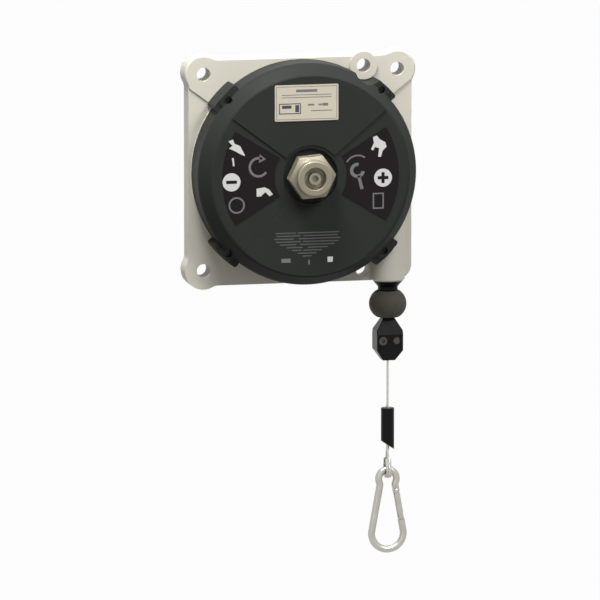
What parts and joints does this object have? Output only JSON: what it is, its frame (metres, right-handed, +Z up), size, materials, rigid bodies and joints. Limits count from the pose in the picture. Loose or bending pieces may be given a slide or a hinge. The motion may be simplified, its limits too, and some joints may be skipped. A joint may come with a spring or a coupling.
{
  "type": "tool balancer",
  "caption": "Square wall housing with a round covered rope drum, adjusting nut, rope outlet, rubber buffer, stop clamp and snap hook.",
  "frame": {"origin": "centre of the housing's rear face, on the drum's axis", "axes": "+Z up, -Y out of the front cover away from the wall, +X to the side where the rope leaves"},
  "size_m": [0.186, 0.07, 0.402],
  "materials": {
    "cast_paint": "satin cream paint on cast aluminium",
    "cover_paint": "dark grey moulded cover, fine grain",
    "black_plastic": "black plastic",
    "label_black": "printed black film",
    "plate_cream": "cream anodised plate",
    "rubber_dark": "dark grey rubber",
    "bronze_nut": "bronze-coloured finish",
    "steel": "bright steel",
    "zinc_hook": "zinc-plated steel",
    "black_steel": "black oxide",
    "spring_steel": "blued spring steel",
    "drum_alloy": "die-cast alloy",
    "bronze_bush": "sintered bronze",
    "wire_rope": "stranded wire",
    "alloy": "pressed aluminium"
  },
  "bodies": {
    "housing": {"base_housing": "cast_paint", "rear_shaft_bush": "bronze_bush", "thrust_washer": "steel", "front_cover": "cover_paint", "cover_screws": "black_steel", "front_shaft_bush": "bronze_bush", "name_plate": "plate_cream", "label_plus": "label_black", "label_minus": "label_black", "leaf_pawl": "spring_steel", "pawl_screws": "steel", "outlet_bush": "black_plastic"},
    "drum": {"cable_drum": "drum_alloy", "spring_cover": "steel", "spring_cover_screws": "steel", "drum_bush_rear": "bronze_bush", "drum_bush_front": "bronze_bush", "rope_winding": "wire_rope", "rope_anchor": "alloy", "power_spring": "spring_steel"},
    "tension_adjuster": {"tension_shaft": "steel", "ratchet_wheel": "steel", "shaft_circlip": "spring_steel", "adjusting_nut": "bronze_nut", "nut_screw": "bronze_nut"},
    "load_line": {"rope_fall": "wire_rope", "buffer_ball": "rubber_dark", "stop_clamp_front": "black_plastic", "stop_clamp_rear": "black_plastic", "clamp_screws": "steel", "clamp_nuts": "steel", "rope_tail": "wire_rope", "ferrule_sleeve": "black_plastic", "crimp_ferrule": "alloy", "rope_eye": "wire_rope", "thimble": "zinc_hook"},
    "hook": {"snap_hook": "zinc_hook", "gate_pin": "steel"},
    "hook_gate": {"gate": "zinc_hook", "gate_spring": "spring_steel"}
  },
  "joints": [
    {"name": "drum_spin", "type": "hinge", "parent": "housing", "child": "drum", "pos_m": [0, -0.024, 0], "axis": [0, 1, 0], "range_deg": [0, 1623.11], "stiffness_Nm_per_rad": 0.012, "springref_deg": -6302.54, "deforming": ["power_spring"]},
    {"name": "load_travel", "type": "slide", "parent": "housing", "child": "load_line", "axis": [0, 0, -1], "range_m": [0, 2.001], "deforming": ["rope_fall"]},
    {"name": "tension_adjust", "type": "hinge", "parent": "housing", "child": "tension_adjuster", "pos_m": [0, -0.04, 0], "axis": [0, 1, 0], "range_deg": [-720, 1080], "deforming": ["leaf_pawl"]},
    {"name": "hook_swing", "type": "hinge", "parent": "load_line", "child": "hook", "pos_m": [0.0706, -0.018, -0.2422], "axis": [1, 0, 0], "range_deg": [-80, 80]},
    {"name": "gate_open", "type": "hinge", "parent": "hook", "child": "hook_gate", "pos_m": [0.07763, -0.018, -0.25921], "axis": [0, 1, 0], "range_deg": [0, 26], "stiffness_Nm_per_rad": 0.03, "springref_deg": -34.38, "deforming": ["gate_spring"]}
  ],
  "couplings": [
    {"joint": "load_travel", "follows": "drum_spin", "m_per_rad": 0.0706}
  ]
}
